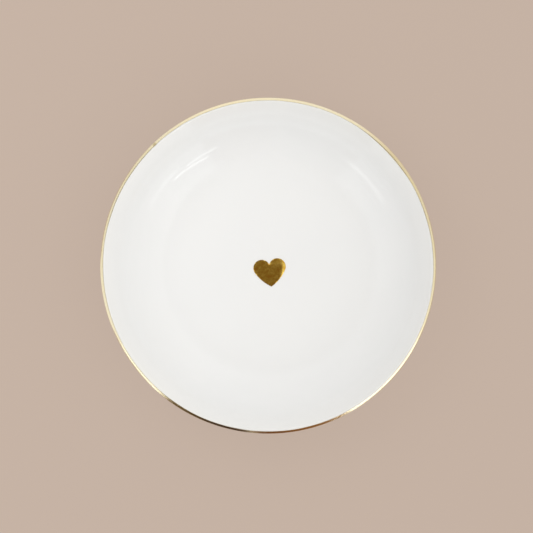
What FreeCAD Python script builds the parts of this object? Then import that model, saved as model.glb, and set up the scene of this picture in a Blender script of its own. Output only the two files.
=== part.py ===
"""A small round porcelain ring dish with a gilded lip and a gilded heart on its floor.

The dish is built in the order in which it is made. A porcelain body with a foot ring is turned to one section.
A glaze coats it all over, apart from the foot, which is wiped bare to stand in the kiln and so parts the glaze
into the coat of the dish and a small coat inside the foot. Gold is then laid over the glaze, as a band round the
lip and as a raised heart in the well. Each layer is a solid of its own and lies face to face on the one below.

The origin is on the ground at the middle of the foot ring. Z is up and -Y is the side that the heart's tip
points to. All lengths are in millimetres and all angles in degrees.
"""

import math
import os

import FreeCAD
import Part

# Overall size, measured over the gold
RIM_DIAMETER = 102.0
DISH_HEIGHT = 19.0

# Lip and wall
LIP_THICKNESS = 1.7  # over the glaze
LIP_SLOPE = 40.0  # rise of the wall above level where it meets the lip
FLARE_TO_BOOGE = 0.3  # how far the outward flare under the lip runs, against the bend up from the floor

# Floor
WELL_DIAMETER = 61.0  # flat part of the floor
FLOOR_THICKNESS = 3.4

# Foot ring
FOOT_DIAMETER = 57.0  # across the outer edge that the foot would have on the ground, were it not rounded
FOOT_WIDTH = 3.4
FOOT_HEIGHT = 2.5
FOOT_DRAFT = 10.0  # lean of each flank from upright
FOOT_EDGE_RADIUS = 0.7
FOOT_ROOT_RADIUS = 0.9
FOOT_SHELF = 1.3  # flat underside from the foot's root to where the outer wall springs
BARE_FOOT_HEIGHT = 1.0  # wiped clean of glaze, from the ground up

# Coats
GLAZE_THICKNESS = 0.3
BAND_THICKNESS = 0.1
BAND_INSIDE = 0.1  # reach of the gold band from the crest of the lip, along the glaze, into the dish
BAND_OUTSIDE = 1.8  # the same, over the lip and down the outside

# Heart
HEART_WIDTH = 10.1
HEART_HEIGHT = 8.6
HEART_NOTCH = 1.7  # depth of the notch below the tops of the lobes
HEART_SIDE_RADIUS = 13.0  # bow of the sides from the lobes to the tip
HEART_RELIEF = 0.3
HEART_EDGE_RADIUS = 0.2
HEART_RIGHT = 0.6  # the middle of the heart from the middle of the dish
HEART_FORWARD = 2.0
HEART_TURN = 5.9  # anticlockwise, seen from above


class Line:
    """A straight run of the section, with the porcelain on its left."""

    def __init__(self, start, end):
        self.start = start
        self.end = end
        self.length = math.dist(start, end)

    def at(self, distance):
        share = distance / self.length
        return tuple(a + (b - a) * share for a, b in zip(self.start, self.end))

    def part(self, near, far):
        return Line(self.at(near), self.at(far))

    def offset(self, distance):
        run, rise = (b - a for a, b in zip(self.start, self.end))
        shift = (rise * distance / self.length, -run * distance / self.length)
        return Line(*(tuple(a + b for a, b in zip(p, shift)) for p in (self.start, self.end)))

    def edge(self):
        return Part.LineSegment(in_plane(self.start), in_plane(self.end)).toShape()


class Arc:
    """A round stretch of the section, with the porcelain on its left. A positive turn is to the left."""

    def __init__(self, centre, radius, begin, turn):
        self.centre = centre
        self.radius = radius
        self.begin = begin
        self.turn = turn
        self.length = radius * abs(turn)
        self.start = self.at(0)
        self.end = self.at(self.length)

    def at(self, distance):
        angle = self.begin + self.turn * distance / self.length
        return polar(self.centre, self.radius, angle)

    def part(self, near, far):
        begin = self.begin + self.turn * near / self.length
        return Arc(self.centre, self.radius, begin, self.turn * (far - near) / self.length)

    def offset(self, distance):
        return Arc(self.centre, self.radius + math.copysign(distance, self.turn), self.begin, self.turn)

    def edge(self):
        return Part.Arc(*(in_plane(p) for p in (self.start, self.at(self.length / 2), self.end))).toShape()


def in_plane(point):
    """A point of the section, as radius and height, in the plane that is turned about the Z axis."""
    return FreeCAD.Vector(point[0], 0, point[1])


def polar(centre, radius, angle):
    return (centre[0] + radius * math.cos(angle), centre[1] + radius * math.sin(angle))


def tangent_arc(start, heading, tangent, turn):
    """The arc that leaves start along heading and turns, with that length of tangent at each end."""
    radius = tangent / math.tan(abs(turn) / 2)
    side = math.copysign(math.pi / 2, turn)
    return Arc(polar(start, radius, heading + side), radius, heading - side, turn)


def turn_between(heading, other):
    return math.remainder(other - heading, math.tau)


def two_arcs(start, heading, end, end_heading, ratio):
    """Two arcs, tangent to each other, from start to end. The second's tangents are ratio times the first's."""
    across = (end[0] - start[0], end[1] - start[1])
    lean = (
        math.cos(heading) + ratio * math.cos(end_heading),
        math.sin(heading) + ratio * math.sin(end_heading),
    )
    along = across[0] * lean[0] + across[1] * lean[1]
    square = across[0] ** 2 + across[1] ** 2
    bend = 2 * ratio * (1 - math.cos(end_heading - heading))
    tangent = square / (along + math.sqrt(along**2 + bend * square))
    knee = polar(start, tangent, heading)
    other_knee = polar(end, -ratio * tangent, end_heading)
    middle = math.atan2(other_knee[1] - knee[1], other_knee[0] - knee[0])
    first = tangent_arc(start, heading, tangent, turn_between(heading, middle))
    second = tangent_arc(first.end, middle, ratio * tangent, turn_between(middle, end_heading))
    return [first, second]


def rounded_path(points, radii):
    """Straight runs through the points, each inner corner rounded to its radius."""
    runs = []
    start = points[0]
    for before, corner, after, radius in zip(points, points[1:], points[2:], radii):
        heading = math.atan2(corner[1] - before[1], corner[0] - before[0])
        next_heading = math.atan2(after[1] - corner[1], after[0] - corner[0])
        turn = turn_between(heading, next_heading)
        tangent = radius * math.tan(abs(turn) / 2)
        bend = tangent_arc(polar(corner, -tangent, heading), heading, tangent, turn)
        runs += [Line(start, bend.start), bend]
        start = bend.end
    return [*runs, Line(start, points[-1])]


def lip_arc():
    """The rounded edge of the bare body, from the outer wall over the crest to the inner wall."""
    coats = GLAZE_THICKNESS + BAND_THICKNESS
    radius = LIP_THICKNESS / 2 - GLAZE_THICKNESS
    centre = (RIM_DIAMETER / 2 - coats - radius, DISH_HEIGHT - coats - radius)
    return Arc(centre, radius, math.radians(LIP_SLOPE) - math.pi / 2, math.pi)


def foot_path():
    """The underside of the bare body, from the axis round the foot ring to where the outer wall springs."""
    lean = FOOT_HEIGHT * math.tan(math.radians(FOOT_DRAFT))
    outer = FOOT_DIAMETER / 2
    inner = outer - FOOT_WIDTH
    root_end = outer + lean + FOOT_ROOT_RADIUS * math.tan(math.radians(90 - FOOT_DRAFT) / 2)
    points = [
        (0, FOOT_HEIGHT),
        (inner - lean, FOOT_HEIGHT),
        (inner, 0),
        (outer, 0),
        (outer + lean, FOOT_HEIGHT),
        (root_end + FOOT_SHELF, FOOT_HEIGHT),
    ]
    return rounded_path(points, [FOOT_ROOT_RADIUS, FOOT_EDGE_RADIUS, FOOT_EDGE_RADIUS, FOOT_ROOT_RADIUS])


def parted(section, mark):
    """The section's runs before and after a length along the glaze that lies on it."""
    for n, run in enumerate(section):
        glazed_length = run.offset(GLAZE_THICKNESS).length
        if mark < glazed_length:
            place = run.length * mark / glazed_length
            return [*section[:n], run.part(0, place)], [run.part(place, run.length), *section[n + 1 :]]
        mark -= glazed_length
    return section, []


def body_section():
    """The bare body's outline, from the axis below the base, round the lip, to the axis in the well.

    It comes in three stretches, so that every layer has its edges where the gold band begins and ends: the one
    outside the band, the one under it and the one inside it.
    """
    slope = math.radians(LIP_SLOPE)
    lip = lip_arc()
    foot = foot_path()
    floor_edge = (WELL_DIAMETER / 2, FOOT_HEIGHT + FLOOR_THICKNESS)
    outer_wall = two_arcs(foot[-1].end, 0, lip.start, slope, FLARE_TO_BOOGE)
    inner_wall = two_arcs(lip.end, slope + math.pi, floor_edge, math.pi, 1 / FLARE_TO_BOOGE)
    floor = Line(floor_edge, (0, floor_edge[1]))
    to_crest = parted([lip], LIP_THICKNESS / 2 * (math.pi - slope))[0]
    crest = sum(run.offset(GLAZE_THICKNESS).length for run in [*foot, *outer_wall, *to_crest])
    outside, rest = parted([*foot, *outer_wall, lip, *inner_wall, floor], crest - BAND_OUTSIDE)
    under_band, inside = parted(rest, BAND_OUTSIDE + BAND_INSIDE)
    return outside, under_band, inside


def offset(section, distance):
    return [run.offset(distance) for run in section]


def turned(outline):
    """The solid that a closed outline, given as edges in order, sweeps round the Z axis."""
    face = Part.Face(Part.Wire(outline))
    axis = FreeCAD.Vector(0, 0, 1)
    return face.revolve(FreeCAD.Vector(), axis, 360).Solids[0]


def coat(section, thickness):
    """The solid layer of even thickness that lies on a section."""
    skin = offset(section, thickness)
    start_side = Line(skin[0].start, section[0].start)
    end_side = Line(section[-1].end, skin[-1].end)
    runs = [start_side, *section, end_side, *reversed(skin)]
    return turned([run.edge() for run in runs])


def porcelain_body(section):
    axis = Line(section[-1].end, section[0].start)
    return turned([run.edge() for run in [*section, axis]])


def glaze_coats(section):
    """The glaze of the dish and the glaze inside the foot, once the foot has been wiped."""
    everywhere = coat(section, GLAZE_THICKNESS)
    wiped = Part.makeCylinder(RIM_DIAMETER, BARE_FOOT_HEIGHT + FOOT_HEIGHT, FreeCAD.Vector(0, 0, -FOOT_HEIGHT))
    inside_foot, dish = sorted(everywhere.cut(wiped).Solids, key=lambda solid: solid.BoundBox.XLength)
    return dish, inside_foot


def gold_rim_band(under_band):
    """The band over the lip, from its edge on the outside to its edge in the dish."""
    return coat(offset(under_band, GLAZE_THICKNESS), BAND_THICKNESS)


def heart_outline():
    """A heart about the middle of its height, with its tip towards -Y."""
    lobe = HEART_WIDTH / 2 + HEART_NOTCH - math.sqrt(HEART_NOTCH * HEART_WIDTH)
    across = HEART_WIDTH / 2 - lobe
    top = HEART_HEIGHT / 2
    level = top - lobe  # of the lobes' centres
    tip = FreeCAD.Vector(0, -top, 0)
    notch = FreeCAD.Vector(0, top - HEART_NOTCH, 0)
    # Each side bows on a circle that passes through the tip and touches its lobe from within.
    reach = math.hypot(across, top + level)
    near = HEART_SIDE_RADIUS - lobe
    swing = math.acos((reach**2 + near**2 - HEART_SIDE_RADIUS**2) / (2 * reach * near))
    touch = math.atan2(-top - level, -across) - swing + math.pi
    edges = []
    for side in (1, -1):
        centre = (across, level)
        bow = polar(centre, -near, touch)
        tip_angle = math.atan2(-top - bow[1], -bow[0])
        lobe_points = (polar(centre, lobe, touch / 2 + math.pi / 4), polar(centre, lobe, touch))
        bow_point = polar(bow, HEART_SIDE_RADIUS, (touch + tip_angle) / 2)
        over, meet, along = (FreeCAD.Vector(side * x, y, 0) for x, y in (*lobe_points, bow_point))
        edges += [Part.Arc(notch, over, meet).toShape(), Part.Arc(meet, along, tip).toShape()]
    return Part.Wire(Part.__sortEdges__(edges))


def gold_heart():
    """The heart lies on the glaze of the floor, a little raised, with its upper edge rounded."""
    heart = Part.Face(heart_outline()).extrude(FreeCAD.Vector(0, 0, HEART_RELIEF))
    upper_edge = [edge for edge in heart.Edges if edge.BoundBox.ZMin > HEART_RELIEF / 2]
    heart = heart.makeFillet(HEART_EDGE_RADIUS, upper_edge)
    floor = FOOT_HEIGHT + FLOOR_THICKNESS + GLAZE_THICKNESS
    upright = FreeCAD.Vector(0, 0, 1)
    heart.Placement = FreeCAD.Placement(
        FreeCAD.Vector(HEART_RIGHT, -HEART_FORWARD, floor), FreeCAD.Rotation(upright, HEART_TURN)
    )
    return heart


def main():
    outside, under_band, inside = body_section()
    section = [*outside, *under_band, *inside]
    dish_glaze, foot_glaze = glaze_coats(section)
    parts = {
        "porcelain_body": porcelain_body(section),
        "glaze_coat": dish_glaze,
        "base_glaze": foot_glaze,
        "gold_rim_band": gold_rim_band(under_band),
        "gold_heart": gold_heart(),
    }
    os.makedirs("parts", exist_ok=True)
    for name, shape in parts.items():
        shape.exportStep(f"parts/{name}.step")


main()
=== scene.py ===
import math

import bmesh
import bpy
from mathutils import Matrix, Vector, noise


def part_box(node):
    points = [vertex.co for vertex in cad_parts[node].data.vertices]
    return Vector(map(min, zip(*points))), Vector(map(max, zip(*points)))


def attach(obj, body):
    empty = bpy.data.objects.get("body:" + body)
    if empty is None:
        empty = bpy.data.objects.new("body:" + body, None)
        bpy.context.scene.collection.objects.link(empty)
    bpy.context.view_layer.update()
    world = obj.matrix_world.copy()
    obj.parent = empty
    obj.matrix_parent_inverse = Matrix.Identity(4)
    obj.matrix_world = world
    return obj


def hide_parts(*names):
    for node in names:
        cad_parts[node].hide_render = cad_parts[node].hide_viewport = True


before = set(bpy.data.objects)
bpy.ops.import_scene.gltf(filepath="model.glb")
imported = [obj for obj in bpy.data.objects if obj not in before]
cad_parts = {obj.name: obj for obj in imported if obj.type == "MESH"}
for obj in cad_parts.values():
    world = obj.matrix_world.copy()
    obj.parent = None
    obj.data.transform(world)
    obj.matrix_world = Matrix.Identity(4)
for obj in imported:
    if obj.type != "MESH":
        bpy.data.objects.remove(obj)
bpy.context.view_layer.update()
print("frame loaded:", ", ".join(sorted(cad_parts)))

mergeReach = 1e-7  # metres within which two points become one

# the dish's section, in metres and degrees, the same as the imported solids
dishSection = {
    "rimRadius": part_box("gold_rim_band")[1].x,  # over the gold
    "dishHeight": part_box("gold_rim_band")[1].z,
    "lipThickness": 0.0017,
    "lipSlope": 40,
    "flareToBend": 0.3,  # tangents of the wall's flare, as a share of those of the bend below it
    "wellRadius": 0.0305,
    "floorThickness": 0.0034,
    "footRadius": 0.0285,
    "footWidth": 0.0034,
    "footHeight": 0.0025,
    "footDraft": 10,
    "footEdge": 0.0007,
    "footRoot": 0.0009,
    "footShelf": 0.0013,
    "bareFoot": 0.001,
    "glaze": 0.0003,
    "glazeEdge": 0.0002,  # rounding where the glaze ends
    "gold": 0.0001,
    "bandInside": -0.00006,  # the painted edge stops just short of the crest
    "bandOutside": 0.0018,
    "sharpFrom": 40,
}

# how finely it is drawn: steps of a run or a bend, or degrees of each step
sectionSteps = {
    "recess": 6,
    "flank": 2,
    "ground": 4,
    "shelf": 2,
    "well": 8,
    "root": 10,
    "edge": 12,
    "corner": 4,
    "fewest": 3,  # in any bend that is stepped by degrees
    "outerWallDegrees": 2,
    "innerWallDegrees": 1.5,
    "lipDegrees": 3,
    "turn": 256,
}


# a section is a list of moves: ("run", length, steps) or ("bend", radius, turn, steps), left turns positive
def toward(heading):
    return Vector((math.cos(heading), math.sin(heading)))


def rightOf(heading):
    return Vector((math.sin(heading), -math.cos(heading)))


def upright(flat):
    return Vector((flat.x, 0, flat.y))


def stepAlong(point, heading, move):
    if move[0] == "run":
        return point + toward(heading) * move[1], heading
    radius, turn = move[1:3]
    side = math.copysign(math.pi / 2, turn)
    centre = point + toward(heading + side) * radius
    return centre + toward(heading - side + turn) * radius, heading + turn


def walk(point, heading, moves):
    for move in moves:
        point, heading = stepAlong(point, heading, move)
    return point, heading


def bendSteps(turn, degreesEach):
    return max(sectionSteps["fewest"], math.ceil(abs(math.degrees(turn)) / degreesEach))


def wallBends(start, heading, end, endHeading, ratio, degreesEach):
    # two tangent bends from start to end, the second's tangents ratio times the first's
    across = end - start
    away = toward(heading)
    home = toward(endHeading)
    along = across.dot(away + ratio * home)
    bow = 2 * ratio * (1 - math.cos(endHeading - heading))
    tangent = across.length_squared / (along + math.sqrt(along**2 + bow * across.length_squared))
    middle = across - away * tangent - home * ratio * tangent
    headings = (heading, math.atan2(middle.y, middle.x), endHeading)
    bends = []
    for n, reach in enumerate((tangent, ratio * tangent)):
        turn = math.remainder(headings[n + 1] - headings[n], math.tau)
        radius = reach / math.tan(abs(turn) / 2)
        bends.append(("bend", radius, turn, bendSteps(turn, degreesEach)))
    return bends


def planSection(section, steps):
    slope = math.radians(section["lipSlope"])
    draft = math.radians(section["footDraft"])
    corner = math.pi / 2 - draft
    lean = section["footHeight"] * math.tan(draft)
    rootTangent = section["footRoot"] * math.tan(corner / 2)
    edgeTangent = section["footEdge"] * math.tan(corner / 2)
    flank = section["footHeight"] / math.cos(draft) - rootTangent - edgeTangent
    bareFlank = (section["bareFoot"] - section["footEdge"] * (1 - math.cos(corner))) / math.cos(draft)
    inner = section["footRadius"] - section["footWidth"] - lean - rootTangent
    rootBend = ("bend", section["footRoot"], -corner, steps["root"])
    edgeBend = ("bend", section["footEdge"], corner, steps["edge"])
    glazedRun = ("run", flank - bareFlank, steps["flank"])
    bareRun = ("run", bareFlank, steps["flank"])
    ground = ("run", section["footWidth"] - 2 * edgeTangent, steps["ground"])
    plan = {"start": Vector((0, section["footHeight"]))}
    plan["recess"] = [("run", inner, steps["recess"]), rootBend, glazedRun]
    plan["bare"] = [bareRun, edgeBend, ground, edgeBend, bareRun]
    skirt = [glazedRun, rootBend, ("run", section["footShelf"], steps["shelf"])]

    lipRadius = section["lipThickness"] / 2 - section["glaze"]
    coats = section["glaze"] + section["gold"]
    lipOut = section["rimRadius"] - coats - lipRadius
    lipUp = section["dishHeight"] - coats - lipRadius
    lipCentre = Vector((lipOut, lipUp))
    across = rightOf(slope) * lipRadius
    spring, heading = walk(plan["start"], 0, plan["recess"] + plan["bare"] + skirt)
    floorEdge = Vector((section["wellRadius"], section["footHeight"] + section["floorThickness"]))
    ratio = section["flareToBend"]
    outerWall = wallBends(spring, heading, lipCentre + across, slope, ratio, steps["outerWallDegrees"])
    innerStart = lipCentre - across
    innerWall = wallBends(
        innerStart, slope + math.pi, floorEdge, math.pi, 1 / ratio, steps["innerWallDegrees"]
    )

    glazedLip = section["lipThickness"] / 2
    bandStart = (math.pi - slope) - section["bandOutside"] / glazedLip
    bandTurn = (section["bandOutside"] + section["bandInside"]) / glazedLip
    lipTurns = (bandStart, bandTurn, math.pi - bandStart - bandTurn)
    lip = [("bend", lipRadius, turn, bendSteps(turn, steps["lipDegrees"])) for turn in lipTurns]
    well = ("run", section["wellRadius"], steps["well"])
    plan["dish"] = skirt + outerWall + lip + innerWall + [well]
    plan["toBand"] = skirt + outerWall + lip[:1]
    plan["band"] = lip[1:2]
    plan["lipCentre"] = lipCentre
    return plan


def drawSection(bm, point, heading, moves, offset):
    # the pen is a vertex: it is extruded along a run and spun round a bend
    verts = [bm.verts.new(upright(point + rightOf(heading) * offset))]
    for move in moves:
        if move[0] == "run":
            length, steps = move[1:]
            for n in range(steps):
                pushed = bmesh.ops.extrude_vert_indiv(bm, verts=[verts[-1]])["verts"][0]
                pushed.co += upright(toward(heading)) * length / steps
                verts.append(pushed)
        else:
            radius, turn, steps = move[1:]
            side = heading + math.copysign(math.pi / 2, turn)
            centre = verts[-1].co + upright(toward(side)) * (radius + math.copysign(offset, turn))
            known = set(bm.verts)
            bmesh.ops.spin(bm, geom=[verts[-1]], cent=centre, axis=(0, -1, 0), angle=turn, steps=steps)
            verts += [vert for vert in bm.verts if vert not in known]
            heading += turn
    return verts


def turnOnWheel(bm, steps):
    section = bm.verts[:] + bm.edges[:]
    bmesh.ops.spin(bm, geom=section, axis=(0, 0, 1), angle=math.tau, steps=steps, use_merge=True)
    bmesh.ops.remove_doubles(bm, verts=bm.verts, dist=mergeReach)
    bmesh.ops.recalc_face_normals(bm, faces=bm.faces)


def settle(bm, name, node, material, sharpFrom):
    mesh = bpy.data.meshes.new(name)
    bm.to_mesh(mesh)
    bm.free()
    mesh.shade_smooth()
    mesh.set_sharp_from_angle(angle=math.radians(sharpFrom))
    mesh.materials.append(material)
    piece = bpy.data.objects.new(name, mesh)
    bpy.context.scene.collection.objects.link(piece)
    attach(piece, "root")
    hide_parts(node)
    print(name, "made:", len(mesh.polygons), "faces")


# node helpers: a value is a number, a colour or another node's socket
def startMaterial(name):
    material = bpy.data.materials.new(name)
    material.use_nodes = True
    tree = material.node_tree
    return material, tree, tree.nodes["Principled BSDF"]


def fill(tree, node, values):
    for socket, value in values.items():
        if isinstance(value, bpy.types.NodeSocket):
            tree.links.new(value, node.inputs[socket])
        else:
            node.inputs[socket].default_value = value


def addNode(tree, kind, values=None, **settings):
    node = tree.nodes.new(kind)
    for key, value in settings.items():
        setattr(node, key, value)
    fill(tree, node, values or {})
    return node


def addPlace(tree):
    return addNode(tree, "ShaderNodeTexCoord").outputs["Object"]


def addParts(tree, vector):
    return addNode(tree, "ShaderNodeSeparateXYZ", {"Vector": vector}).outputs


def addFlat(tree, place):
    parts = addParts(tree, place)
    return addNode(tree, "ShaderNodeCombineXYZ", {"X": parts["X"], "Y": parts["Y"]}).outputs["Vector"]


def addMath(tree, operation, *values):
    return addNode(tree, "ShaderNodeMath", dict(enumerate(values)), operation=operation).outputs["Value"]


def addVectorMath(tree, operation, *values):
    return addNode(tree, "ShaderNodeVectorMath", dict(enumerate(values)), operation=operation).outputs


def addScaled(tree, vector, scale):
    scaled = addNode(tree, "ShaderNodeVectorMath", {0: vector, "Scale": scale}, operation="SCALE")
    return scaled.outputs["Vector"]


def addMap(tree, value, fromPair, toPair=(0, 1), kind="LINEAR"):
    values = {"Value": value}
    values["From Min"], values["From Max"] = fromPair
    values["To Min"], values["To Max"] = toPair
    return addNode(tree, "ShaderNodeMapRange", values, interpolation_type=kind).outputs["Result"]


def addRamp(tree, value, stops):
    ramp = addNode(tree, "ShaderNodeValToRGB", {"Fac": value})
    elements = ramp.color_ramp.elements
    elements[0].position = stops[0][0]
    elements[1].position = stops[-1][0]
    for position, colour in stops[1:-1]:
        elements.new(position)
    for element, stop in zip(elements, stops):
        element.color = (*stop[1], 1)
    return ramp.outputs["Color"]


def asColour(value):
    return value if isinstance(value, bpy.types.NodeSocket) else (*value, 1)


def addMix(tree, share, first, second, blend="MIX"):
    # inputs 6 and 7 and output 2 are the node's colours
    values = {0: share, 6: asColour(first), 7: asColour(second)}
    return addNode(tree, "ShaderNodeMix", values, data_type="RGBA", blend_type=blend).outputs[2]


def addNoise(tree, place, scale, detail, roughness=0.5):
    values = {"Vector": place, "Scale": scale, "Detail": detail, "Roughness": roughness}
    return addNode(tree, "ShaderNodeTexNoise", values).outputs["Fac"]


def addBump(tree, height, strength, depth, under=None):
    values = {"Height": height, "Strength": strength, "Distance": depth}
    if under is not None:
        values["Normal"] = under
    return addNode(tree, "ShaderNodeBump", values).outputs["Normal"]


# white glaze
glazeLook = {
    # share of the rim's radius, and colour: the glaze pools in the wall's bend and thins creamier on the
    # lip; the darker colour towards the lip is painted shade
    "poolingAndLipShade": [
        (0.0, (0.85, 0.847, 0.841)),
        (0.6, (0.85, 0.847, 0.841)),
        (0.88, (0.852, 0.851, 0.846)),
        # painted shade: the glaze is darker towards the lip
        (0.985, (0.81, 0.801, 0.784)),
    ],
    "cloud": 45,
    "cloudTints": [(0.3, (0.988, 0.99, 0.99)), (0.7, (1.0, 1.0, 0.997))],
    "haze": 110,
    "roughness": (0.05, 0.1),
    "wave": 160,
    "waveStrength": 0.3,
    "waveDepth": 0.000004,
    "peel": 900,
    "peelStrength": 0.1,
    "peelDepth": 0.0000006,
    "ior": 1.5,
    "specular": 0.4,
}


def makeGlaze(look):
    material, tree, shader = startMaterial("whiteGlaze")
    place = addPlace(tree)
    radius = addVectorMath(tree, "LENGTH", addFlat(tree, place))["Value"]
    out = addMap(tree, radius, (0, dishSection["rimRadius"]))
    # the glaze's tone by radius, with painted shade darkening it towards the lip
    pooledAndShaded = addRamp(tree, out, look["poolingAndLipShade"])
    cloud = addNoise(tree, place, look["cloud"], detail=3)
    tint = addRamp(tree, cloud, look["cloudTints"])
    haze = addNoise(tree, place, look["haze"], detail=2)
    wave = addNoise(tree, place, look["wave"], detail=1)
    peel = addNoise(tree, place, look["peel"], detail=1)
    swell = addBump(tree, wave, look["waveStrength"], look["waveDepth"])
    fill(tree, shader, {
        "Base Color": addMix(tree, 1, pooledAndShaded, tint, "MULTIPLY"),
        "Roughness": addMap(tree, haze, (0, 1), look["roughness"]),
        "Normal": addBump(tree, peel, look["peelStrength"], look["peelDepth"], swell),
        "IOR": look["ior"],
        "Specular IOR Level": look["specular"],
    })
    return material


# bare porcelain of the foot, rubbed grey where it stands
biscuitLook = {
    "base": (0.80, 0.765, 0.70),
    "rubbed": (0.60, 0.565, 0.51),
    "rubbedTo": 0.0003,  # metres up the foot
    "rubbedShare": 0.75,
    "scuff": 260,
    "speck": 900,
    "speckTints": [(0.04, (0.62, 0.55, 0.46)), (0.09, (1.0, 1.0, 1.0))],
    "speckShare": 0.5,
    "roughness": (0.5, 0.75),
    "grain": 3500,
    "grainStrength": 0.6,
    "grainDepth": 0.00002,
    "ior": 1.5,
}


def makeBiscuit(look):
    material, tree, shader = startMaterial("barePorcelain")
    place = addPlace(tree)
    scuff = addNoise(tree, place, look["scuff"], detail=6, roughness=0.65)
    low = addMap(tree, addParts(tree, place)["Z"], (0, look["rubbedTo"]), (look["rubbedShare"], 0))
    colour = addMix(tree, addMath(tree, "MULTIPLY", low, scuff), look["base"], look["rubbed"])
    speck = addNode(tree, "ShaderNodeTexVoronoi", {"Vector": place, "Scale": look["speck"]})
    dark = addRamp(tree, speck.outputs["Distance"], look["speckTints"])
    grain = addNoise(tree, place, look["grain"], detail=3)
    fill(tree, shader, {
        "Base Color": addMix(tree, look["speckShare"], colour, dark, "MULTIPLY"),
        "Roughness": addMap(tree, scuff, (0, 1), look["roughness"]),
        "Normal": addBump(tree, grain, look["grainStrength"], look["grainDepth"]),
        "IOR": look["ior"],
    })
    return material


# burnished gold of the lip, laid on by brush as the dish turns
lipGoldLook = {
    "streak": 7,
    "acrossLip": 900,  # units of noise for each metre across the lip, one for each radian along it
    "streakTints": [(0.32, (0.9, 0.785, 0.51)), (0.62, (0.95, 0.878, 0.665))],
    "streakRange": (0.3, 0.7),
    "roughness": (0.17, 0.26),
    "streakStrength": 0.25,
    "streakDepth": 0.00001,
    "alongBrush": 0.9,  # how much sharper the gold mirrors along the stroke than across it
    "brushTurn": 0.25,  # of a full turn
    "closing": (0.66, 0.56, 0.35),  # a darker dab where the stroke closes on itself
    "closingAt": 133.3,  # degrees from the right, anticlockwise
    "closingUp": 65,  # degrees up round the lip's own section
    "closingReach": (0.0009, 0.0002),  # from the dab's middle to where it ends, and to where it is full
}


def makeLipGold(look, lipCentre):
    material, tree, shader = startMaterial("lipGold")
    place = addPlace(tree)
    flat = addFlat(tree, place)
    radius = addVectorMath(tree, "LENGTH", flat)["Value"]
    way = addParts(tree, addVectorMath(tree, "NORMALIZE", flat)["Vector"])
    across = addMath(tree, "SUBTRACT", addParts(tree, place)["Z"], radius)
    quick = addMath(tree, "MULTIPLY", across, look["acrossLip"])
    brushed = addNode(tree, "ShaderNodeCombineXYZ", {"X": way["X"], "Y": way["Y"], "Z": quick})
    streak = addNoise(tree, brushed.outputs["Vector"], look["streak"], detail=4, roughness=0.6)
    colour = addRamp(tree, streak, look["streakTints"])
    lipReach = dishSection["lipThickness"] / 2 + dishSection["gold"]
    onLip = lipCentre + toward(math.radians(look["closingUp"])) * lipReach
    closing = Matrix.Rotation(math.radians(look["closingAt"]), 3, "Z") @ upright(onLip)
    away = addVectorMath(tree, "DISTANCE", place, closing)["Value"]
    dab = addMap(tree, away, look["closingReach"], kind="SMOOTHSTEP")
    along = addNode(tree, "ShaderNodeTangent", direction_type="RADIAL", axis="Z")
    fill(tree, shader, {
        "Base Color": addMix(tree, dab, colour, look["closing"]),
        "Roughness": addMap(tree, streak, look["streakRange"], look["roughness"]),
        "Normal": addBump(tree, streak, look["streakStrength"], look["streakDepth"]),
        "Tangent": along.outputs["Tangent"],
        "Anisotropic": look["alongBrush"],
        "Anisotropic Rotation": look["brushTurn"],
        "Metallic": 1,
    })
    return material


# deep, mottled gold of the heart
heartLook = {
    "mottle": 800,
    "mottleTints": [
        (0.38, (0.75, 0.42, 0.07)),
        (0.5, (0.8, 0.54, 0.1)),
        (0.62, (0.97, 0.7, 0.18)),
    ],
    "mottleRange": (0.3, 0.7),
    "roughness": (0.05, 0.11),
    "swell": 300,
    "swellStrength": 0.3,
    "swellDepth": 0.00003,
}


def makeHeartGold(look):
    material, tree, shader = startMaterial("heartGold")
    place = addPlace(tree)
    mottle = addNoise(tree, place, look["mottle"], detail=5, roughness=0.72)
    swell = addNoise(tree, place, look["swell"], detail=2)
    fill(tree, shader, {
        "Base Color": addRamp(tree, mottle, look["mottleTints"]),
        "Roughness": addMap(tree, mottle, look["mottleRange"], look["roughness"]),
        "Normal": addBump(tree, swell, look["swellStrength"], look["swellDepth"]),
        "Metallic": 1,
    })
    return material


plan = planSection(dishSection, sectionSteps)
whiteGlaze = makeGlaze(glazeLook)
barePorcelain = makeBiscuit(biscuitLook)
lipGold = makeLipGold(lipGoldLook, plan["lipCentre"])
heartGold = makeHeartGold(heartLook)
print("materials made")


# porcelain body, one closed turn of the bare section
bm = bmesh.new()
drawSection(bm, plan["start"], 0, plan["recess"] + plan["bare"] + plan["dish"], 0)
turnOnWheel(bm, sectionSteps["turn"])
settle(bm, "porcelainBody", "porcelain_body", barePorcelain, dishSection["sharpFrom"])


def roundCorners(bm, corners, reach):
    steps = sectionSteps["corner"]
    bmesh.ops.bevel(
        bm, geom=corners, offset=reach, affect="VERTICES", segments=steps, profile=0.5, material=-1
    )


def coatSection(bm, point, heading, moves, low, high):
    under = drawSection(bm, point, heading, moves, low)
    over = drawSection(bm, point, heading, moves, high)
    return under, over


# glaze of the dish, from the foot's bare line to the middle of the well
bm = bmesh.new()
point, heading = walk(plan["start"], 0, plan["recess"] + plan["bare"])
under, over = coatSection(bm, point, heading, plan["dish"], 0, dishSection["glaze"])
bm.edges.new((under[0], over[0]))
roundCorners(bm, [over[0]], dishSection["glazeEdge"])
turnOnWheel(bm, sectionSteps["turn"])
settle(bm, "dishGlaze", "glaze_coat", whiteGlaze, dishSection["sharpFrom"])

# glaze inside the foot ring
bm = bmesh.new()
under, over = coatSection(bm, plan["start"], 0, plan["recess"], 0, dishSection["glaze"])
bm.edges.new((under[-1], over[-1]))
roundCorners(bm, [over[-1]], dishSection["glazeEdge"])
turnOnWheel(bm, sectionSteps["turn"])
settle(bm, "footGlaze", "base_glaze", whiteGlaze, dishSection["sharpFrom"])

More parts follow.
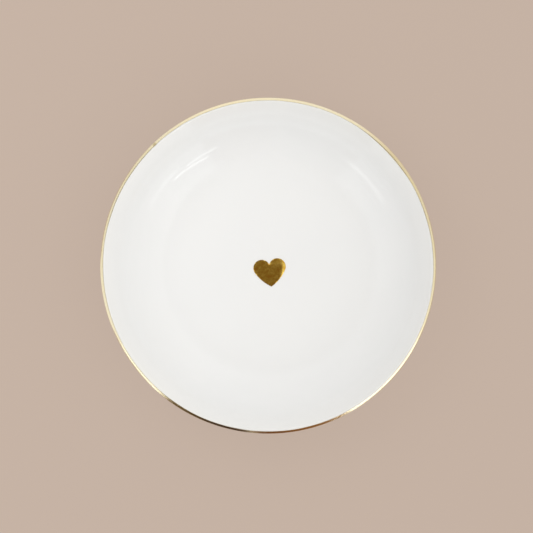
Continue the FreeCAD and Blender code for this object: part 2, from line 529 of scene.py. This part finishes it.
# gold band over the lip, painted by hand: its edges wander, and it is thicker where the brush was full;
# angles round the dish are from the right, anticlockwise, the others up round the lip's own section
bandShape = {
    "steps": 720,
    "edge": 0.00005,
    "sharpFrom": 50,
    "middle": 25,
    "toEdge": 57,  # degrees from the middle over which the wandering grows to its full measure
    "drift": 5,  # degrees by which the edges wander
    # the noise they follow: waves, and where it starts
    "slowWaves": (4, 0),
    "quickWaves": (13, 3),
    "quickShare": 0.4,
    "outerWaves": (5, 9),
    # where the inner edge reaches further in, or less far: angle, reach to each side, degrees gained
    "wideSpots": [
        (43, 10, 12),
        (45, 30, 5),
        (12, 14, 6),
        (148, 24, 7),
        (133.3, 0.9, 5),
        (-172, 16, 3),
        (-84, 36, -11),
    ],
    "widePower": 4,
    "flatFrom": 60,  # below this the gold gathers towards its outer shoulder
    "flatness": 40,
    "thinShare": 0.1,  # how much of that shoulder there is where the brush ran thin
    # where it was full: angle, reach to each side
    "fullSpots": [(-96, 41), (-170, 13), (81, 60)],
    "fullPower": 8,
}


def shoulderReach(angle, reach, shape):
    # the gold's surface is nearly flat down to its outer shoulder, and then drops straight
    flatFrom = math.radians(shape["flatFrom"])
    if not 0 < angle < flatFrom:
        return reach
    slope = reach / math.cos(angle - flatFrom)
    side = reach / math.cos(angle)
    power = shape["flatness"]
    return (slope**-power + side**-power) ** (-1 / power)


def wander(spoke, waves):
    count, start = waves
    return noise.noise(spoke * count + Vector((0, 0, start)))


def nearness(around, spot, reach, power):
    # 1 at the spot and 0 well past its reach, with a steeper fall for a higher power
    return math.exp(-((math.remainder(around - spot, 360) / reach) ** power))


def paintBand(bm, centre, under, shape):
    for vert in bm.verts:
        spoke = Vector((vert.co.x, vert.co.y, 0)).normalized()
        arm = Vector((vert.co.xy.length, vert.co.z)) - centre
        angle = math.degrees(math.atan2(arm.y, arm.x))
        around = math.degrees(math.atan2(spoke.y, spoke.x))
        slow = wander(spoke, shape["slowWaves"])
        quick = wander(spoke, shape["quickWaves"])
        inward = shape["drift"] * (slow + shape["quickShare"] * quick)
        for spot, reach, gain in shape["wideSpots"]:
            inward += gain * nearness(around, spot, reach, shape["widePower"])
        outward = shape["drift"] * wander(spoke, shape["outerWaves"])
        share = (angle - shape["middle"]) / shape["toEdge"]
        angle = math.radians(angle + (inward * share if share > 0 else outward * share))
        thin = 1 - shape["thinShare"]
        for spot, reach in shape["fullSpots"]:
            thin *= 1 - nearness(around, spot, reach, shape["fullPower"])
        lift = (1 - thin) * (arm.length - under) / dishSection["gold"]
        length = arm.length + lift * (shoulderReach(angle, arm.length, shape) - arm.length)
        radius = centre.x + length * math.cos(angle)
        vert.co = Vector((spoke.x * radius, spoke.y * radius, centre.y + length * math.sin(angle)))


bm = bmesh.new()
point, heading = walk(plan["start"], 0, plan["recess"] + plan["bare"] + plan["toBand"])
glaze = dishSection["glaze"]
under, over = coatSection(bm, point, heading, plan["band"], glaze, glaze + dishSection["gold"])
bm.edges.new((under[0], over[0]))
bm.edges.new((under[-1], over[-1]))
roundCorners(bm, [over[0], over[-1]], bandShape["edge"])
turnOnWheel(bm, bandShape["steps"])
paintBand(bm, plan["lipCentre"], dishSection["lipThickness"] / 2, bandShape)
settle(bm, "lipGoldBand", "gold_rim_band", lipGold, bandShape["sharpFrom"])

# gold heart on the floor of the well
heartShape = {
    "width": 0.0101,
    "height": 0.0086,
    "notch": 0.0017,
    "sideRadius": 0.013,
    "middle": (0.0006, -0.002),
    "turn": 5.9,
    "edge": 0.0001,  # thickness of the gold at its outline
    "lobeDegrees": 5,
    "sideSteps": 24,
    "grid": 0.0003,
    "gridSnap": 1e-6,
    "sideBelow": 0.5,  # a face whose normal points up or down by less than this is one of the sides
    "swellings": 1200,
    "swellStep": 1e-6,
    "smoothing": 0.9,
    # where the gold lies thicker: middle, reach, and how much more it swells there
    "pools": [((0.0031, 0.0014), 0.0016, 5), ((-0.0033, 0.0012), 0.0014, 2.5)],
    "sharpFrom": 60,
}


def drawHeart(bm, heart):
    width = heart["width"]
    notch = heart["notch"]
    bowRadius = heart["sideRadius"]
    lobe = width / 2 + notch - math.sqrt(notch * width)
    across = width / 2 - lobe
    top = heart["height"] / 2
    centre = Vector((across, top - lobe))
    tip = Vector((0, -top))
    # each side bows on a circle through the tip that touches its lobe from within
    near = bowRadius - lobe
    toTip = tip - centre
    swing = math.acos((toTip.length_squared + near**2 - bowRadius**2) / (2 * toTip.length * near))
    touch = math.atan2(toTip.y, toTip.x) - swing + math.pi
    bow = centre - toward(touch) * near
    notchAngle = math.atan2(top - notch - centre.y, -across)
    tipAngle = math.atan2(tip.y - bow.y, tip.x - bow.x)
    lobeTurn = math.remainder(touch, math.tau) - notchAngle
    sideTurn = math.remainder(tipAngle - touch, math.tau)
    lobeSteps = bendSteps(lobeTurn, heart["lobeDegrees"])
    bm.verts.new((0, top - notch, 0))
    for pivot, turn, steps in ((centre, lobeTurn, lobeSteps), (bow, sideTurn, heart["sideSteps"])):
        bm.verts.ensure_lookup_table()
        pen = bm.verts[-1]
        bmesh.ops.spin(bm, geom=[pen], cent=pivot.to_3d(), axis=(0, 0, 1), angle=turn, steps=steps)
    bmesh.ops.mirror(bm, geom=bm.verts[:] + bm.edges[:], axis="X", merge_dist=mergeReach)
    bmesh.ops.contextual_create(bm, geom=bm.edges[:])


def gridCut(bm, reach, spacing, snap):
    count = math.ceil(reach / spacing)
    for axis in (Vector((1, 0, 0)), Vector((0, 1, 0))):
        for n in range(-count, count):
            geometry = bm.verts[:] + bm.edges[:] + bm.faces[:]
            middle = axis * (n + 0.5) * spacing
            bmesh.ops.bisect_plane(bm, geom=geometry, plane_co=middle, plane_no=axis, dist=snap)


def swellTop(bm, top, rise, heart):
    # smoothing and lifting by turns blows the top up like a pillow held at its outline
    sides = [face for face in bm.faces if abs(face.normal.z) < heart["sideBelow"]]
    rim = {vert for face in sides for vert in face.verts}
    inner = list({vert for face in top for vert in face.verts} - rim)
    pools = []
    for middle, reach, share in heart["pools"]:
        pool = [vert for vert in inner if (vert.co.xy - Vector(middle)).length < reach]
        pools.append((pool, share))
    base = inner[0].co.z
    step = heart["swellStep"]
    for n in range(heart["swellings"]):
        bmesh.ops.smooth_vert(bm, verts=inner, factor=heart["smoothing"], use_axis_z=True)
        bmesh.ops.translate(bm, verts=inner, vec=(0, 0, step))
        for pool, share in pools:
            bmesh.ops.translate(bm, verts=pool, vec=(0, 0, step * share))
    highest = max(vert.co.z for vert in inner) - base
    for vert in inner:
        vert.co.z = base + (vert.co.z - base) * rise / highest


bm = bmesh.new()
low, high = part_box("gold_heart")
drawHeart(bm, heartShape)
gridCut(bm, heartShape["width"] / 2, heartShape["grid"], heartShape["gridSnap"])
bmesh.ops.recalc_face_normals(bm, faces=bm.faces)
if bm.faces[:][0].normal.z < 0:
    bmesh.ops.reverse_faces(bm, faces=bm.faces[:])
raised = bmesh.ops.extrude_face_region(bm, geom=bm.faces[:], use_keep_orig=True)["geom"]
top = [part for part in raised if isinstance(part, bmesh.types.BMFace)]
topVerts = [part for part in raised if isinstance(part, bmesh.types.BMVert)]
bmesh.ops.translate(bm, verts=topVerts, vec=(0, 0, heartShape["edge"]))
bm.normal_update()
swellTop(bm, top, high.z - low.z - heartShape["edge"], heartShape)
bmesh.ops.recalc_face_normals(bm, faces=bm.faces)
turned = Matrix.Rotation(math.radians(heartShape["turn"]), 4, "Z")
moved = Matrix.Translation((*heartShape["middle"], low.z))
bmesh.ops.transform(bm, matrix=moved @ turned, verts=bm.verts)
settle(bm, "goldHeart", "gold_heart", heartGold, heartShape["sharpFrom"])

# floor
floorLook = {
    "colour": (0.558, 0.445, 0.371),
    "radius": 3.0,
    "segments": 128,
    "roughness": 0.9,
    "specular": 0.1,
    "flatShare": 0.8,  # how much of the floor's colour is even, the rest takes the dish's shadow
    "flatLevel": 1.0,
}


def makeFloorPaint(look):
    material, tree, shader = startMaterial("paleFloor")
    colour = asColour(look["colour"])
    fill(tree, shader, {
        "Base Color": colour,
        "Roughness": look["roughness"],
        "Specular IOR Level": look["specular"],
    })
    glow = addNode(tree, "ShaderNodeEmission", {"Color": colour, "Strength": look["flatLevel"]})
    ray = addNode(tree, "ShaderNodeLightPath").outputs
    seen = addMath(tree, "MAXIMUM", ray["Is Camera Ray"], ray["Is Glossy Ray"])
    seen = addMath(tree, "MAXIMUM", seen, ray["Is Transmission Ray"])
    share = addMath(tree, "MULTIPLY", seen, look["flatShare"])
    blended = {0: share, 1: shader.outputs["BSDF"], 2: glow.outputs["Emission"]}
    mixed = addNode(tree, "ShaderNodeMixShader", blended)
    fill(tree, tree.nodes["Material Output"], {"Surface": mixed.outputs["Shader"]})
    return material


bm = bmesh.new()
bmesh.ops.create_circle(bm, cap_ends=True, segments=floorLook["segments"], radius=floorLook["radius"])
mesh = bpy.data.meshes.new("studioFloor")
bm.to_mesh(mesh)
bm.free()
mesh.materials.append(makeFloorPaint(floorLook))
floor = bpy.data.objects.new("studioFloor", mesh)
bpy.context.scene.collection.objects.link(floor)
print("floor laid")

# soft light from above and all round; metal and glaze mirror the room instead: its bright panels,
# the dim patch straight above and the dim near side
roomLight = {
    "around": 0.635,  # level at the horizon
    "above": 0.265,  # what is added straight above
    "fromSides": (0.34, -0.045, 0),  # what is added from the right and from the near side
    "fromEnds": (0, 0.26, 0),  # and alike from the near and the far side
    "tint": (1.0, 0.995, 0.98),
    "panelLevel": 1.55,
    "panels": [  # angle seen from above, anticlockwise from the left, and colour
        (0, (0.6, 0.59, 0.57)),
        (30, (0.67, 0.67, 0.66)),
        (48, (0.69, 0.69, 0.68)),
        (50, (0.09, 0.055, 0.02)),
        (60, (0.06, 0.034, 0.01)),
        (70, (0.022, 0.007, 0.002)),
        (83.5, (0.02, 0.004, 0.001)),
        (84.2, (0.75, 0.7, 0.64)),  # a bright gap in the dim side
        (84.9, (0.065, 0.016, 0.001)),
        (90, (0.08, 0.021, 0.001)),
        (105, (0.14, 0.05, 0.005)),
        (118.7, (0.14, 0.06, 0.016)),
        (120.7, (0.78, 0.78, 0.77)),
        (145, (0.92, 0.92, 0.91)),
        (166, (0.61, 0.6, 0.58)),
        (190, (0.55, 0.53, 0.48)),
        (210, (0.5, 0.47, 0.41)),
        (223, (0.5, 0.46, 0.385)),
        (238, (0.61, 0.6, 0.58)),
        (290, (0.64, 0.63, 0.61)),
        (325, (0.54, 0.53, 0.51)),
        (345, (0.56, 0.55, 0.53)),
        (360, (0.6, 0.59, 0.57)),
    ],
    "dimAbove": (0.228, 0.176, 0.11),
    "dimReach": (6, 23),  # degrees from straight above
    "dimRightEdge": (9.5, 12.5),
    "rightTurn": 11,  # the way that edge faces, anticlockwise from the right
}


def lightRoom(look):
    world = bpy.data.worlds.new("softRoom")
    bpy.context.scene.world = world
    world.use_nodes = True
    tree = world.node_tree
    way = addNode(tree, "ShaderNodeTexCoord").outputs["Generated"]
    height = addParts(tree, way)["Z"]

    lift = addMath(tree, "MULTIPLY_ADD", height, look["above"], look["around"])
    sides = addVectorMath(tree, "DOT_PRODUCT", way, look["fromSides"])["Value"]
    squared = addVectorMath(tree, "MULTIPLY", way, way)["Vector"]
    ends = addVectorMath(tree, "DOT_PRODUCT", squared, look["fromEnds"])["Value"]
    level = addMath(tree, "ADD", addMath(tree, "ADD", lift, sides), ends)
    soft = addScaled(tree, look["tint"], level)

    turn = addNode(tree, "ShaderNodeTexGradient", {"Vector": way}, gradient_type="RADIAL")
    stops = [(angle / 360, colour) for angle, colour in look["panels"]]
    lit = addScaled(tree, addRamp(tree, turn.outputs["Fac"], stops), look["panelLevel"])
    inner, outer = (math.cos(math.radians(angle)) for angle in look["dimReach"])
    above = addMap(tree, height, (outer, inner), kind="SMOOTHSTEP")
    inner, outer = (math.sin(math.radians(angle)) for angle in look["dimRightEdge"])
    facing = toward(math.radians(look["rightTurn"])).to_3d()
    right = addVectorMath(tree, "DOT_PRODUCT", way, facing)["Value"]
    left = addMap(tree, right, (outer, inner), kind="SMOOTHSTEP")
    dim = addMath(tree, "MULTIPLY", above, left)
    mirrored = addMix(tree, dim, lit, look["dimAbove"])

    glossy = addNode(tree, "ShaderNodeLightPath").outputs["Is Glossy Ray"]
    fill(tree, tree.nodes["Background"], {"Color": addMix(tree, glossy, soft, mirrored)})


lightRoom(roomLight)

# window-like lamps that draw the thin arcs on the wall, and a soft box near by that isn't mirrored:
# degrees anticlockwise from the right and up, metres away, degrees wide and tall, and roll
windowLamps = {
    "upperWindow": {
        "around": -49.5,
        "up": 39.8,
        "reach": 1.5,
        "span": 21,
        "tall": 3.2,
        "roll": -25,
        "level": 4.2,
        "mirrored": True,
    },
    "lowerWindow": {
        "around": -57.6,
        "up": 33.8,
        "reach": 1.5,
        "span": 17,
        "tall": 3.2,
        "roll": 0,
        "level": 3.8,
        "mirrored": True,
    },
    "sideWindow": {
        "around": -35,
        "up": 26.3,
        "reach": 1.5,
        "span": 20,
        "tall": 7,
        "roll": 0,
        "level": 1.5,
        "mirrored": True,
    },
    "farWindow": {
        "around": -141,
        "up": 28.3,
        "reach": 1.5,
        "span": 25,
        "tall": 8,
        "roll": 0,
        "level": 1.4,
        "mirrored": True,
    },
    "softBox": {
        "around": 153,
        "up": 45,
        "reach": 0.4,
        "span": 52,
        "tall": 38,
        "roll": 0,
        "level": 1.6,
        "mirrored": False,
    },
}


def hangLamp(name, lamp):
    around = math.radians(lamp["around"])
    up = math.radians(lamp["up"])
    way = Vector((math.cos(around) * math.cos(up), math.sin(around) * math.cos(up), math.sin(up)))
    light = bpy.data.lights.new(name, "AREA")
    light.shape = "RECTANGLE"
    light.size = 2 * lamp["reach"] * math.tan(math.radians(lamp["span"] / 2)) * math.cos(up)
    light.size_y = 2 * lamp["reach"] * math.tan(math.radians(lamp["tall"] / 2))
    light.energy = lamp["level"] * math.pi * light.size * light.size_y
    holder = bpy.data.objects.new(name, light)
    holder.location = way * lamp["reach"]
    holder.visible_glossy = lamp["mirrored"]
    roll = Matrix.Rotation(math.radians(lamp["roll"]), 3, "Z")
    holder.rotation_euler = (way.to_track_quat("Z", "Y").to_matrix() @ roll).to_euler()
    bpy.context.scene.collection.objects.link(holder)


for name, lamp in windowLamps.items():
    hangLamp(name, lamp)
print("lights hung")

# camera, almost straight above
cameraSet = {
    "reach": 0.45,
    "lean": 2.0,
    "pictureWidth": 533,  # pixels
    "radiusInPicture": 167.95,  # of the lip, in those pixels
    "sensorWidth": 36,  # millimetres
    "clipStart": 0.01,
    "aim": (-0.00053, -0.00044),
}
camera = bpy.data.cameras.new("overheadCamera")
camera.sensor_width = cameraSet["sensorWidth"]
lipOnSensor = cameraSet["sensorWidth"] * cameraSet["radiusInPicture"] / cameraSet["pictureWidth"]
camera.lens = lipOnSensor * cameraSet["reach"] / dishSection["rimRadius"]
camera.clip_start = cameraSet["clipStart"]
holder = bpy.data.objects.new("overheadCamera", camera)
lean = math.radians(cameraSet["lean"])
aim = Vector((*cameraSet["aim"], plan["lipCentre"].y))
holder.location = aim + Vector((0, -math.sin(lean), math.cos(lean))) * cameraSet["reach"]
holder.rotation_euler = (lean, 0, 0)
bpy.context.scene.collection.objects.link(holder)
bpy.context.scene.camera = holder
bpy.context.scene.view_settings.view_transform = "Standard"
print("camera set")
